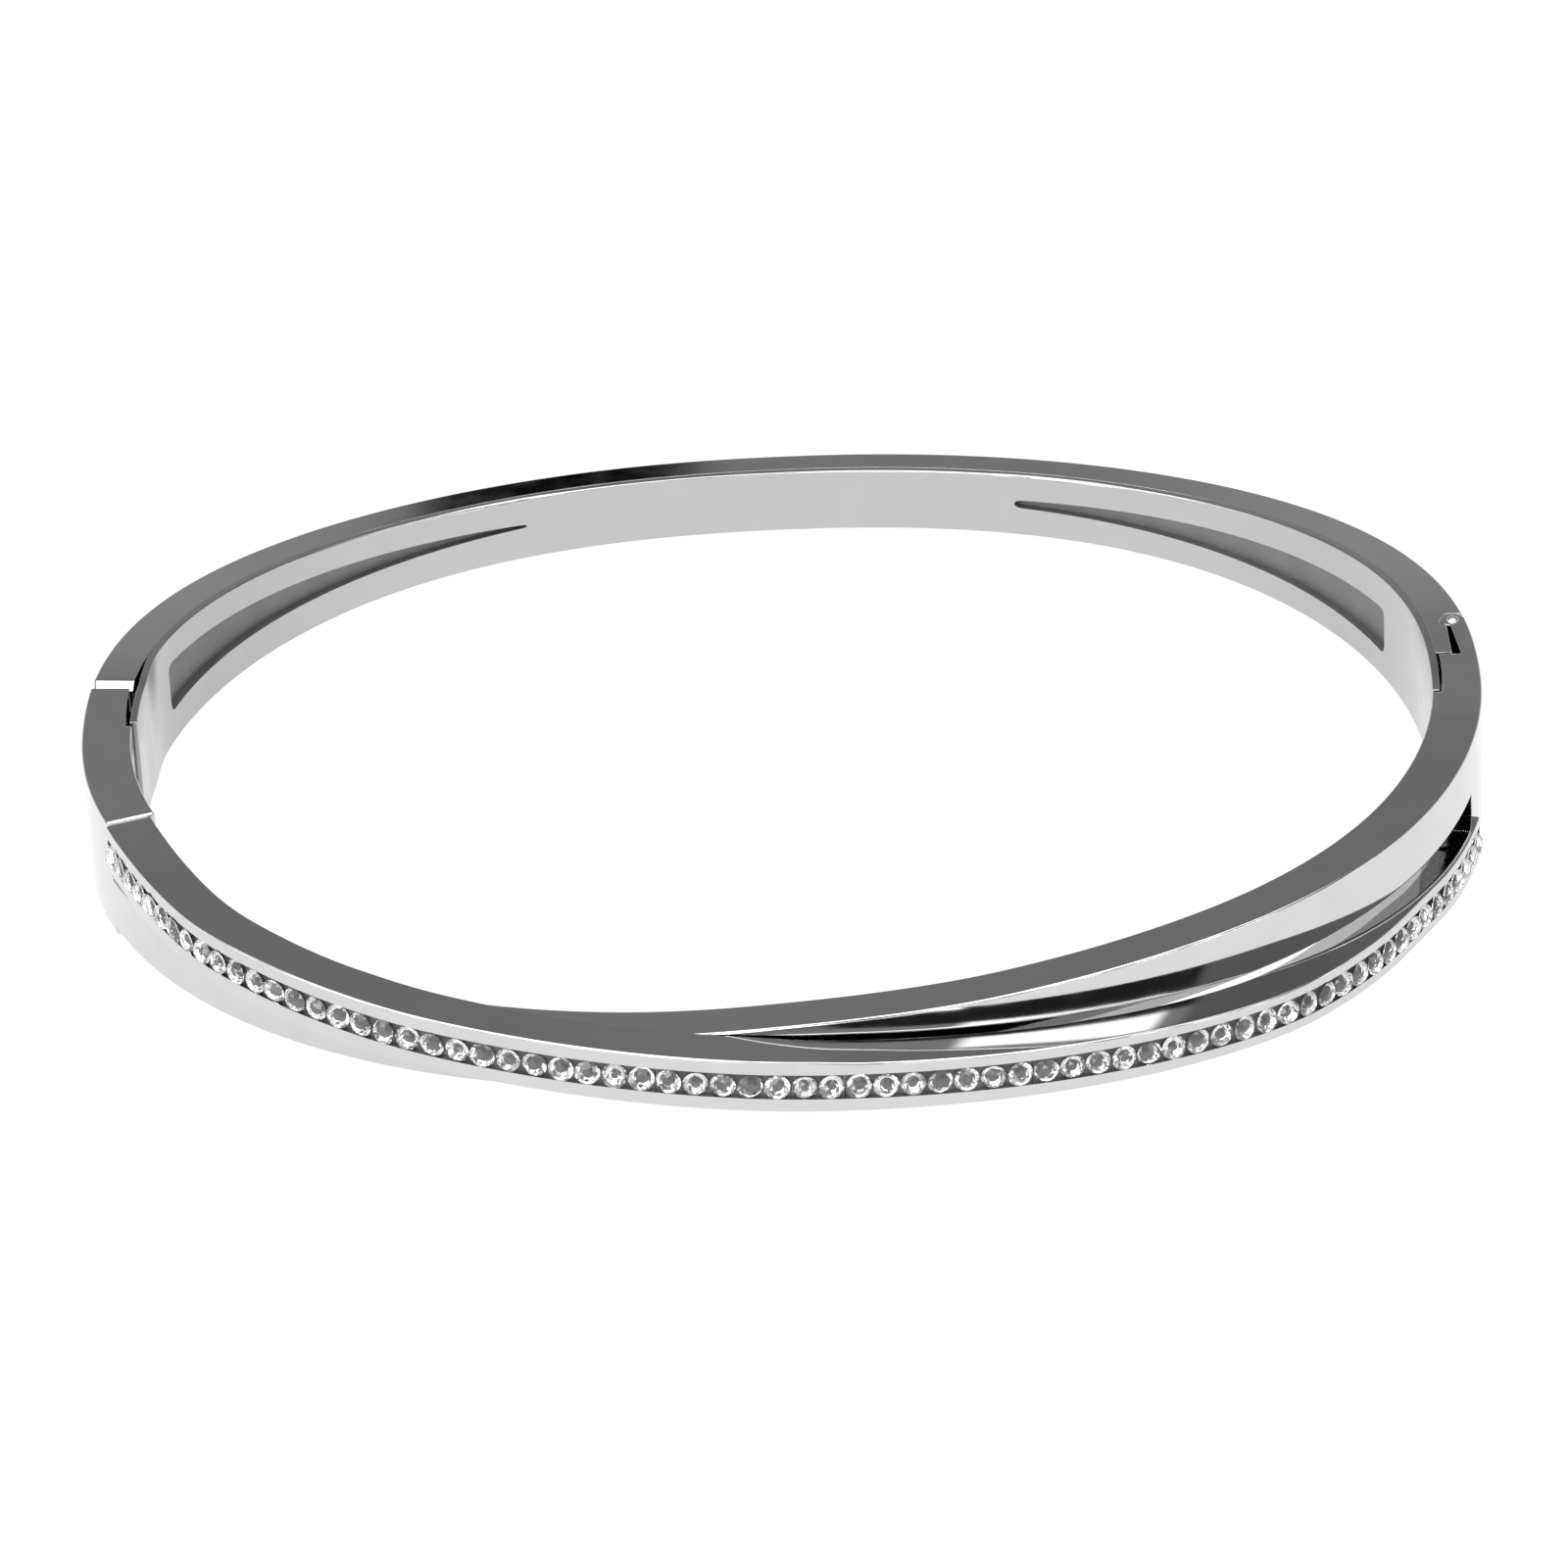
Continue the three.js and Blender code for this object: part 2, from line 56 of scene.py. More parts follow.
CHANNEL_THICK = [(-95, 2.05), (-84, 1.84), (-50, 1.82), (-40, 2.05)]
PLAIN_TOP = [(-162, .05), (-150, .03), (-140, .03), (-130, .05), (-120, .1), (-108, .24), (-99, .42), (-91, .65), (-82, .9),
             (-73, 1.15), (-64, 1.48), (-54, 1.8), (-44, 2.03), (-33, 2.27), (-25, 2.45), (-17, 2.64), (-10, 2.75)]
CHANNEL_TOP = [(-162, 2.73), (-152, 2.55), (-144, 2.32), (-138, 2.14), (-132, 1.93), (-124, 1.62), (-116, 1.33), (-108, .95),
               (-99, .52), (-91, .2), (-82, 0.), (-73, -.18), (-64, -.35), (-54, -.53), (-46, -.64), (-38, -.7), (-28, -.73), (-17, -.74)]
CHANNEL_HEIGHT = [(-162, 2.3), (-140, 2.34), (-110, 2.38), (-85, 2.36), (-65, 2.2), (-50, 2.06), (-38, 2.02), (-17, 2.)]
CHANNEL_OUT = [(-162, .08), (-157, .22), (-152, .5), (-144, 1.1), (-138, 1.38), (-132, 1.64), (-124, 1.93), (-116, 2.1), (-108, 2.14),
               (-99, 2.14), (-91, 2.12), (-82, 2.12), (-73, 2.12), (-64, 2.12), (-54, 2.12), (-46, 1.98), (-38, 1.42),
               (-29.5, .76), (-24.2, .64), (-18.3, .48), (-15, .4)]
WINDOW_HINGE, WINDOW_CLASP = (17.2, 64.5), (116.5, 164.4)
STONE_R, STONE_PITCH, STONES_PER_RUN = 0.55, 1.125, 7
GROOVE_DEPTH, GROOVE_HALF, GIRDLE_SINK = 0.6, 0.57, 0.02


# ---- the oval -----------------------------------------------------------------------------------
def on_oval(deg, u=0.0, z=0.0):
    c, s, p = math.cos(math.radians(deg)), math.sin(math.radians(deg)), OUTLINE_POWER
    r = (abs(c / HALF_WIDTH) ** p + abs(s / HALF_DEPTH) ** p) ** (-1 / p)
    gx = math.copysign(abs(r * c / HALF_WIDTH) ** (p - 1) / HALF_WIDTH, c)
    gy = math.copysign(abs(r * s / HALF_DEPTH) ** (p - 1) / HALF_DEPTH, s)
    l = math.hypot(gx, gy)
    return Vector((r * c + u * gx / l, r * s + u * gy / l, z))


def angle_at(y, side):
    a, b = 0.0, math.copysign(60.0, y)
    for _ in range(50):
        m = (a + b) / 2
        if abs(on_oval(m).y) < abs(y):
            a = m
        else:
            b = m
    return a if side == "hinge" else 180 - a


def along(table, deg):
    n = len(table)
    if deg <= table[0][0]:
        return table[0][1]
    if deg >= table[-1][0]:
        return table[-1][1]
    i = 0
    while deg > table[i + 1][0]:
        i += 1

    def slope(k):
        a, b = table[max(k - 1, 0)], table[min(k + 1, n - 1)]
        return (b[1] - a[1]) / (b[0] - a[0])

    (x0, y0), (x1, y1) = table[i], table[i + 1]
    h = x1 - x0
    t = (deg - x0) / h
    return ((2 * t**3 - 3 * t**2 + 1) * y0 + (t**3 - 2 * t**2 + t) * h * slope(i)
            + (3 * t**2 - 2 * t**3) * y1 + (t**3 - t**2) * h * slope(i + 1))


def smooth(t):
    t = min(1.0, max(0.0, t))
    return t * t * (3 - 2 * t)


def bump(x, middle, half):
    return smooth(1 - abs(x - middle) / half)


def endness(d):
    return abs(on_oval(d).x) / HALF_WIDTH


def back_half_height(d):
    return BACK_HALF_HEIGHT + (END_HALF_HEIGHT - BACK_HALF_HEIGHT) * endness(d) ** HEIGHT_POWER


def band_thick(d):
    return BAND_THICK_BACK + (BAND_THICK_END - BAND_THICK_BACK) * endness(d) ** 2


def mm_per_deg(d):
    return (on_oval(d + 0.05) - on_oval(d - 0.05)).length / 0.1


# ---- mesh code ------------------------------------------------------------------------------------
def stations(a, b, step):
    n = max(1, round(abs(b - a) / step))
    return [a + (b - a) * i / n for i in range(n + 1)]


def rounded(ui, uo, zb, zt, radii, n=4):
    """Rounded rectangle, anticlockwise in (u, z). Radii: inner bottom, outer bottom, outer top, inner top."""
    if isinstance(radii, (int, float)):
        radii = (radii,) * 4
    spots = ((ui, zb, 1, 1, 180), (uo, zb, -1, 1, 270), (uo, zt, -1, -1, 0), (ui, zt, 1, -1, 90))
    out = []
    for (u, z, su, sz, start), r in zip(spots, radii):
        r = max(0.004, min(r, (uo - ui) * 0.48, (zt - zb) * 0.48))
        for k in range(n + 1):
            a = math.radians(start + 90 * k / n)
            out.append((u + su * r + r * math.cos(a), z + sz * r + r * math.sin(a)))
    return out


def sweep(angles, ring):
    """Vertices and faces of a closed solid through one ring of (u, z) corners at each angle."""
    rings = [ring(a) for a in angles]
    m = len(rings[0])
    verts = [on_oval(a, u, z) for a, r in zip(angles, rings) for u, z in r]
    faces = []
    for i in range(len(rings) - 1):
        for j in range(m):
            k = (j + 1) % m
            faces.append((i * m + j, (i + 1) * m + j, (i + 1) * m + k, i * m + k))
    faces.append(tuple(range(m)))
    o = (len(rings) - 1) * m
    faces.append(tuple(reversed(range(o, o + m))))
    return verts, faces


def eased(a0, a1, step, ring, e0, e1, n=3):
    """A sweep whose two ends have rounded edges: ring(angle, inset) gives the corners moved in by inset."""
    s0, s1 = e0 / mm_per_deg(a0), e1 / mm_per_deg(a1)
    rows = []
    for k in range(n):
        t = math.pi / 2 * k / n
        if e0 > 0:
            rows.append((a0 + s0 * (1 - math.cos(t)), e0 * (1 - math.sin(t))))
    rows += [(a, 0.0) for a in stations(a0 + s0, a1 - s1, step)]
    for k in reversed(range(n)):
        t = math.pi / 2 * k / n
        if e1 > 0:
            rows.append((a1 - s1 * (1 - math.cos(t)), e1 * (1 - math.sin(t))))
    inset = {a: i for a, i in rows}
    return sweep([a for a, _ in rows], lambda a: ring(a, inset[a]))


def shape(name, data):
    verts, faces = data
    mesh = bpy.data.meshes.new(name)
    mesh.from_pydata([tuple(v) for v in verts], [], faces)
    mesh.validate()
    mesh.update()
    obj = bpy.data.objects.new(name, mesh)
    bpy.context.scene.collection.objects.link(obj)
    return obj


def post(x, y, r, z0, z1, sides=56, ease=0.0):
    """Closed upright cylinder, with its rims eased."""
    levels = [(z0, r - ease), (z0 + ease, r), (z1 - ease, r), (z1, r - ease)] if ease else [(z0, r), (z1, r)]
    verts, faces = [], []
    for z, q in levels:
        for k in range(sides):
            a = 2 * math.pi * k / sides
            verts.append((x + q * math.cos(a), y + q * math.sin(a), z))
    for i in range(len(levels) - 1):
        for k in range(sides):
            l = (k + 1) % sides
            faces.append((i * sides + k, i * sides + l, (i + 1) * sides + l, (i + 1) * sides + k))
    faces.append(tuple(reversed(range(sides))))
    o = (len(levels) - 1) * sides
    faces.append(tuple(range(o, o + sides)))
    return verts, faces


def domed(x, y, r, z0, z1, rise, sides=40):
    """Closed upright pin whose top is a low dome and whose foot is flat."""
    levels = [(z0, r)] + [(z1 + rise * math.sin(math.radians(a)), r * math.cos(math.radians(a))) for a in range(0, 90, 10)]
    verts, faces = [], []
    for z, q in levels:
        verts += [(x + q * math.cos(2 * math.pi * k / sides), y + q * math.sin(2 * math.pi * k / sides), z) for k in range(sides)]
    for i in range(len(levels) - 1):
        faces += [(i * sides + k, i * sides + (k + 1) % sides, (i + 1) * sides + (k + 1) % sides, (i + 1) * sides + k) for k in range(sides)]
    verts.append((x, y, z1 + rise))
    o, tip = (len(levels) - 1) * sides, len(verts) - 1
    faces += [(o + k, o + (k + 1) % sides, tip) for k in range(sides)]
    faces.append(tuple(reversed(range(sides))))
    return verts, faces


def prism(points, z0, z1):
    n = len(points)
    verts = [(x, y, z0) for x, y in points] + [(x, y, z1) for x, y in points]
    faces = [tuple(reversed(range(n))), tuple(range(n, 2 * n))]
    faces += [(k, (k + 1) % n, n + (k + 1) % n, n + k) for k in range(n)]
    area = sum(points[k][0] * points[(k + 1) % n][1] - points[(k + 1) % n][0] * points[k][1] for k in range(n))
    if area < 0:
        faces = [tuple(reversed(f)) for f in faces]
    return verts, faces


def turned(data, matrix):
    verts, faces = data
    return [matrix @ Vector(v) for v in verts], faces


def frame_matrix(p, n):
    """Matrix whose Z axis is the horizontal direction n and whose Y axis is up, at p."""
    z = Vector(n).normalized()
    y = Vector((0, 0, 1))
    x = y.cross(z).normalized()
    return Matrix(((x.x, y.x, z.x, p.x), (x.y, y.y, z.y, p.y), (x.z, y.z, z.z, p.z), (0, 0, 0, 1)))


def across(y, z, r, u0, u1, sides=28, ease=0.03):
    a = angle_at(y, "clasp")
    p, q = on_oval(a, u0, z), on_oval(a, u1, z)
    return turned(post(0, 0, r, 0, (q - p).length, sides, ease), frame_matrix(p, q - p))


def boolean(obj, tool, op="DIFFERENCE"):
    """Cuts obj with tool, or joins them, by a boolean modifier, and leaves the result in obj's mesh."""
    for solver in ("MANIFOLD", "EXACT"):
        mod = obj.modifiers.new("cut", "BOOLEAN")
        mod.operation = op
        mod.solver = solver
        mod.object = tool
        bpy.context.view_layer.update()
        made = bpy.data.meshes.new_from_object(obj.evaluated_get(bpy.context.evaluated_depsgraph_get()))
        obj.modifiers.remove(mod)
        if len(made.polygons) > 10 and abs(len(made.polygons) - len(obj.data.polygons)) + abs(
                len(made.vertices) - len(obj.data.vertices)) > 0:
            break
    else:
        print("boolean did nothing:", obj.name, tool.name)
    old = obj.data
    obj.data = made
    bpy.data.meshes.remove(old)
    bpy.data.objects.remove(tool)
    return obj


def cut(obj, *tools):
    for i, data in enumerate(tools):
        boolean(obj, shape("tool", data))
    return obj


def join(obj, *tools):
    for data in tools:
        boolean(obj, shape("tool", data), "UNION")
    return obj


def settle_normals(mesh):
    """Corner normals weighted by face area, so that large flat faces stay flat beside their rounded edges."""
    around = [[] for _ in mesh.vertices]
    for p in mesh.polygons:
        for corner in p.loop_indices:
            around[mesh.loops[corner].vertex_index].append((p.index, corner))
    smooth_edges = {}
    for p in mesh.polygons:
        for key in p.edge_keys:
            smooth_edges.setdefault(key, []).append(p.index)
    sharp = {tuple(sorted(e.vertices)) for e in mesh.edges if e.use_edge_sharp}
    at_vertex = [[] for _ in mesh.vertices]
    for key, pair in smooth_edges.items():
        if tuple(sorted(key)) not in sharp and len(pair) == 2:
            for v in key:
                at_vertex[v].append(pair)
    weight = [p.area**1.5 for p in mesh.polygons]
    normals = [None] * len(mesh.loops)
    for v, corners in enumerate(around):
        group = {f: f for f, _ in corners}

        def root(f):
            while group[f] != f:
                f = group[f]
            return f

        for a, b in at_vertex[v]:
            group[root(a)] = root(b)
        sums = {}
        for f, _ in corners:
            key = root(f)
            sums[key] = sums.get(key, Vector((0, 0, 0))) + mesh.polygons[f].normal * (weight[f] * 1e12)
        for f, corner in corners:
            n = sums[root(f)]
            normals[corner] = n.normalized() if n.length > 1e-12 else mesh.polygons[f].normal.copy()
    mesh.normals_split_custom_set(normals)


def finish_piece(obj, body, nodes, materials, angle=28, weighted=True):
    """Moves a piece from millimetres round the oval's centre to metres in the row frame, and sets how it shades."""
    mesh = obj.data
    indices = [p.material_index for p in mesh.polygons]
    mesh.materials.clear()
    for m in materials:
        mesh.materials.append(m)
    for p, index in zip(mesh.polygons, indices):
        p.material_index = index
    mesh.transform(Matrix.Translation((0, OVAL_CENTRE_Y, END_HALF_HEIGHT)))
    mesh.transform(Matrix.Scale(0.001, 4))
    for p in mesh.polygons:
        p.use_smooth = True
    mesh.set_sharp_from_angle(angle=math.radians(angle))
    mesh.update()
    if weighted:
        settle_normals(mesh)
    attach(obj, body)
    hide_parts(*nodes)
    return obj


def offset_of(v):
    """Angle and offset from the outline of a point in the oval's frame."""
    d = math.degrees(math.atan2(v[1], v[0]))
    for _ in range(4):
        p = on_oval(d)
        n = (on_oval(d, 1) - p)
        t = Vector((-n.y, n.x, 0))
        d += math.degrees((Vector((v[0], v[1], 0)) - p).dot(t) / max(5.0, p.length))
    p = on_oval(d)
    return d, (Vector((v[0], v[1], 0)) - p).dot(on_oval(d, 1) - p)


# ---- materials ------------------------------------------------------------------------------------
def nodes_of(name):
    mat = bpy.data.materials.new(name)
    mat.use_nodes = True
    tree = mat.node_tree
    tree.nodes.clear()
    return mat, tree


def steel(name, base, spread, rough, rough_spread, wave=2.5e-6, wave_scale=260, grain=0.0, grain_scale=9000, round_edge=0.0,
          grain_stretch=(1, 1, 1), ends=None):
    """Polished or satin metal: tone and roughness drift a little, with a faint waviness, grain and rounded edges.

    ends gives the tone's factor at the clasp end and at the hinge end, where the colour is darkened as painted shade,
    standing in for the dimmer floor reflected there."""
    mat, tree = nodes_of(name)
    new, link = tree.nodes.new, tree.links.new
    out, bsdf = new("ShaderNodeOutputMaterial"), new("ShaderNodeBsdfPrincipled")
    link(bsdf.outputs["BSDF"], out.inputs["Surface"])
    bsdf.inputs["Metallic"].default_value = 1.0
    at = new("ShaderNodeTexCoord").outputs["Object"]
    cloud = new("ShaderNodeTexNoise")
    cloud.inputs["Scale"].default_value = 420
    cloud.inputs["Detail"].default_value = 4
    link(at, cloud.inputs["Vector"])
    tone = new("ShaderNodeValToRGB")
    tone.color_ramp.elements[0].position, tone.color_ramp.elements[1].position = 0.3, 0.7
    lo, hi = base - spread, base + spread
    tone.color_ramp.elements[0].color = (lo, lo, lo * 1.004, 1)
    tone.color_ramp.elements[1].color = (hi, hi, hi * 1.004, 1)
    link(cloud.outputs["Fac"], tone.inputs["Fac"])
    colour = tone.outputs["Color"]
    # Painted shade: the base colour is scaled down towards both ends of the band along X.
    if ends:
        part = new("ShaderNodeSeparateXYZ")
        link(at, part.inputs[0])
        for edge_x, full_x, factor in ((-0.0275, -0.017, ends[0]), (0.0285, 0.019, ends[1])):
            shade_fall = new("ShaderNodeMapRange")
            shade_fall.interpolation_type = "SMOOTHSTEP"
            shade_fall.inputs["From Min"].default_value, shade_fall.inputs["From Max"].default_value = full_x, edge_x
            shade_fall.inputs["To Min"].default_value, shade_fall.inputs["To Max"].default_value = 1.0, factor
            link(part.outputs["X"], shade_fall.inputs["Value"])
            shade_scale = new("ShaderNodeVectorMath")
            shade_scale.operation = "SCALE"
            link(colour, shade_scale.inputs[0])
            link(shade_fall.outputs["Result"], shade_scale.inputs["Scale"])
            colour = shade_scale.outputs["Vector"]
    link(colour, bsdf.inputs["Base Color"])
    smudge = new("ShaderNodeTexNoise")
    smudge.inputs["Scale"].default_value = 900
    smudge.inputs["Detail"].default_value = 3
    link(at, smudge.inputs["Vector"])
    spread_node = new("ShaderNodeMapRange")
    spread_node.inputs["From Min"].default_value, spread_node.inputs["From Max"].default_value = 0.3, 0.7
    spread_node.inputs["To Min"].default_value = max(0.01, rough - rough_spread)
    spread_node.inputs["To Max"].default_value = rough + rough_spread
    link(smudge.outputs["Fac"], spread_node.inputs["Value"])
    link(spread_node.outputs["Result"], bsdf.inputs["Roughness"])
    normal = None
    if round_edge:
        edge = new("ShaderNodeBevel")
        edge.samples = 6
        edge.inputs["Radius"].default_value = round_edge
        normal = edge.outputs["Normal"]
    if wave:
        swell = new("ShaderNodeTexNoise")
        swell.inputs["Scale"].default_value = wave_scale
        swell.inputs["Detail"].default_value = 1
        link(at, swell.inputs["Vector"])
        bump = new("ShaderNodeBump")
        bump.inputs["Strength"].default_value = 1
        bump.inputs["Distance"].default_value = wave
        link(swell.outputs["Fac"], bump.inputs["Height"])
        if normal:
            link(normal, bump.inputs["Normal"])
        normal = bump.outputs["Normal"]
    if grain:
        stretch = new("ShaderNodeMapping")
        stretch.inputs["Scale"].default_value = grain_stretch
        link(at, stretch.inputs["Vector"])
        fine = new("ShaderNodeTexNoise")
        fine.inputs["Scale"].default_value = grain_scale
        fine.inputs["Detail"].default_value = 2
        link(stretch.outputs["Vector"], fine.inputs["Vector"])
        bump = new("ShaderNodeBump")
        bump.inputs["Strength"].default_value = 1
        bump.inputs["Distance"].default_value = grain
        link(fine.outputs["Fac"], bump.inputs["Height"])
        if normal:
            link(normal, bump.inputs["Normal"])
        normal = bump.outputs["Normal"]
    if normal:
        link(normal, bsdf.inputs["Normal"])
    return mat


POLISH = steel("polished_steel", 0.635, 0.012, 0.045, 0.015, wave=1.2e-6)
POLISH_CUT = steel("polished_steel_cut", 0.635, 0.012, 0.055, 0.015, wave=1.2e-6, round_edge=0.00006)
# The satin inner face is darkened at both ends as painted shade.
SATIN = steel("satin_inner_face", 0.52, 0.012, 0.2, 0.03, wave=1e-6, grain=1.2e-7, ends=(0.86, 0.9))
# Window recess faces: a rougher finish, with the tone darkened as painted shade inside the recess.
RECESS_SHADED = steel("recess_face", 0.25, 0.012, 0.62, 0.05, wave=0, grain=2.5e-7, grain_scale=6000)
SPRING = steel("spring_steel", 0.5, 0.02, 0.28, 0.04, wave=0, grain=2e-7, grain_scale=1500, grain_stretch=(14, 1, 14))
HARD = steel("pin_steel", 0.72, 0.02, 0.12, 0.03, wave=0, grain=1e-7, grain_scale=4000)


def crystal():
    mat, tree = nodes_of("crystal_crown")
    new, link = tree.nodes.new, tree.links.new
    out, bsdf = new("ShaderNodeOutputMaterial"), new("ShaderNodeBsdfPrincipled")
    link(bsdf.outputs["BSDF"], out.inputs["Surface"])
    bsdf.inputs["Transmission Weight"].default_value = 1.0
    bsdf.inputs["IOR"].default_value = 1.56
    cloud = new("ShaderNodeTexNoise")
    cloud.inputs["Scale"].default_value = 700
    link(new("ShaderNodeTexCoord").outputs["Object"], cloud.inputs["Vector"])
    tone = new("ShaderNodeValToRGB")
    tone.color_ramp.elements[0].color = (0.93, 0.94, 0.95, 1)
    tone.color_ramp.elements[1].color = (1, 1, 1, 1)
    link(cloud.outputs["Fac"], tone.inputs["Fac"])
    link(tone.outputs["Color"], bsdf.inputs["Base Color"])
    rough = new("ShaderNodeMapRange")
    rough.inputs["To Min"].default_value, rough.inputs["To Max"].default_value = 0.0, 0.03
    link(cloud.outputs["Fac"], rough.inputs["Value"])
    link(rough.outputs["Result"], bsdf.inputs["Roughness"])
    return mat


def cement():
    mat, tree = nodes_of("seat_cement")
    new, link = tree.nodes.new, tree.links.new
    out, bsdf = new("ShaderNodeOutputMaterial"), new("ShaderNodeBsdfPrincipled")
    link(bsdf.outputs["BSDF"], out.inputs["Surface"])
    bsdf.inputs["Roughness"].default_value = 0.8
    cloud = new("ShaderNodeTexNoise")
    cloud.inputs["Scale"].default_value = 5000
    link(new("ShaderNodeTexCoord").outputs["Object"], cloud.inputs["Vector"])
    tone = new("ShaderNodeValToRGB")
    tone.color_ramp.elements[0].color = (0.06, 0.06, 0.062, 1)
    tone.color_ramp.elements[1].color = (0.26, 0.26, 0.265, 1)
    link(cloud.outputs["Fac"], tone.inputs["Fac"])
    link(tone.outputs["Color"], bsdf.inputs["Base Color"])
    return mat


CROWN = crystal()
FOIL = steel("foil_back", 0.94, 0.02, 0.16, 0.08, wave=0, grain=0)
CEMENT = cement()

# ---- back half ------------------------------------------------------------------------------------
clasp_back, clasp_front = angle_at(CLASP_BACK_Y, "clasp"), angle_at(CLASP_FRONT_Y, "clasp")
TALL = 4


def window_half(t, wide_first):
    return 0.19 + 0.66 * t + 0.3 * t**2 if wide_first else 0.08 + 0.82 * t + 0.3 * t**2


def window_mid(t, wide_first):
    return 0.07 - 0.2 * t if wide_first else 0.13


def window_cut(span, wide_first, ui, uo, grow, step=1.0):
    a, b = span
    lo, hi = a - (grow * 2 if wide_first else 0), b + (0 if wide_first else grow * 2)

    def ring(d):
        t = min(1.0, max(0.0, (b - d) / (b - a) if wide_first else (d - a) / (b - a)))
        h, m, thick = window_half(t, wide_first) + grow, window_mid(t, wide_first), band_thick(d)
        narrow = min(1.0, max(0.0, (d - lo) / 0.9), max(0.0, (hi - d) / 0.9))  # rounds the corners of the window
        h -= min(0.42, 0.85 * h) * (1 - math.sqrt(max(0.0, 1 - (1 - narrow) ** 2)))
        return [(ui(thick), m - h), (uo(thick), m - h), (uo(thick), m + h), (ui(thick), m + h)]

    ends = [lo + 0.9 * k / 6 for k in range(6)]
    return sweep(ends + stations(lo + 0.9, hi - 0.9, step) + [hi - 0.9 * k / 6 for k in reversed(range(6))], ring)


def shell_ring(d, t_end):
    h = back_half_height(max(d, 0))
    z_in, u_in = 0.28 * t_end**1.3, 0.12 * t_end**1.6
    return rounded(-band_thick(d) + LINER, -u_in, -h + z_in, h - z_in, (0.006, 0.1, 0.1, 0.006))


end_steps = [clasp_back - 1.2 * (1 - k / 6) for k in range(7)]
shell_angles = [-1.5] + stations(0, clasp_back - 1.2, 0.7)[:-1] + end_steps
back_shell = shape("back_shell_fine", sweep(
    shell_angles, lambda d: shell_ring(d, max(0.0, (d - clasp_back + 1.2) / 1.2))))
cut(back_shell,
    window_cut(WINDOW_HINGE, True, lambda T: -3, lambda T: -T + LINER + 0.06, 0.0),
    window_cut(WINDOW_CLASP, False, lambda T: -3, lambda T: -T + LINER + 0.06, 0.0),
    prism([(TONGUE_X, STEP_Y), (34, STEP_Y), (34, -6), (20, -6), (20, TONGUE_END_Y), (TONGUE_X, TONGUE_END_Y)], -TALL, TALL))
mid = KNUCKLE_SPLIT - KNUCKLE_GAP / 2
join(back_shell, post(PIN_X, PIN_Y, KNUCKLE, -mid, mid),
     prism([(29.6, PIN_Y), (PIN_X + 0.5, PIN_Y), (PIN_X + 0.42, STEP_Y + 0.2), (29.6, STEP_Y + 0.2)], -mid, mid))
cut(back_shell, post(PIN_X, PIN_Y, KNUCKLE_CLEAR, mid, TALL), post(PIN_X, PIN_Y, KNUCKLE_CLEAR, -TALL, -mid),
    post(PIN_X, PIN_Y, PIN_BORE, -TALL, TALL),
    sweep(stations(angle_at(7.1, "clasp"), 182, 1), lambda d: [(-1.57, -1.08), (-1.18, -1.08), (-1.18, 1.08), (-1.57, 1.08)]),
    across(5.9, 0.55, 0.25, -1.76, -0.78, ease=0), across(5.9, -0.55, 0.25, -1.76, -0.78, ease=0))


def recess_faces(obj, index, low, high):
    """Gives the floor and sides of the window recesses, between two depths of the band, their own material: a rougher
    finish whose darker tone is painted shade.
    """
    for p in obj.data.polygons:
        c = p.center
        if c.y < 5 or abs(c.z) > 1.5:
            continue
        d, u = offset_of(c)
        if low < u + band_thick(d) < high and any(a - 0.4 < d < b + 0.4 for a, b in (WINDOW_HINGE, WINDOW_CLASP)):
            p.material_index = index


leaf_hinge, leaf_clasp = angle_at(LEAF_HINGE_Y, "hinge"), angle_at(LEAF_CLASP_Y, "clasp")


def liner_inner(d):
    return -band_thick(d) - 0.22 * smooth((d - 166) / (clasp_back - 0.5 - 166))


def liner_ring(d, inset):
    h = min(back_half_height(d), END_HALF_HEIGHT) - inset
    leaf = smooth((-1.0 - d) / 1.0) if d < 0 else smooth((d - clasp_back + 1.5) / 1.2)
    h -= 0.03 * leaf
    outer = 0.006 + 0.07 * leaf
    soft = 0.07 + 0.19 * max(bump(d, 119, 9), bump(d, 60, 9))  # the top inner edge is polished softer in two places
    return rounded(liner_inner(d) + inset * 0.6, liner_inner(d) + LINER - inset * 0.6, -h, h, (0.12, outer, outer, soft), 6)


back_liner = shape("back_liner_fine", eased(leaf_hinge, leaf_clasp, 0.7, liner_ring, 0.08, 0.08))
cut(back_liner,
    window_cut(WINDOW_HINGE, True, lambda T: -3, lambda T: 1, 0.0),
    window_cut(WINDOW_CLASP, False, lambda T: -3, lambda T: 1, 0.0))

tongue_base = shape("clasp_tongue_base_fine", eased(
    angle_at(6.8, "clasp"), angle_at(-3.2, "clasp"), 1.0,
    lambda d, i: rounded(-1.5 + i * 0.5, -1.25 - i * 0.5, -1.0 + i, 1.0 - i, 0.04, 3), 0.06, 0.06))
cut(tongue_base, across(5.9, 0.55, 0.24, -1.8, -0.7, ease=0), across(5.9, -0.55, 0.24, -1.8, -0.7, ease=0))
spring_free, spring_fold = angle_at(1.5, "clasp"), angle_at(-3.2, "clasp")


def spring_ring(d, i):
    t = (spring_fold - d) / (spring_fold - spring_free)
    u = -1.12 + 0.36 * t + 0.1 * math.sin(math.pi * t) * t
    return rounded(u - 0.07 + i * 0.5, u + 0.11 - i * 0.5, -0.95 + i, 0.95 - i, 0.04, 3)


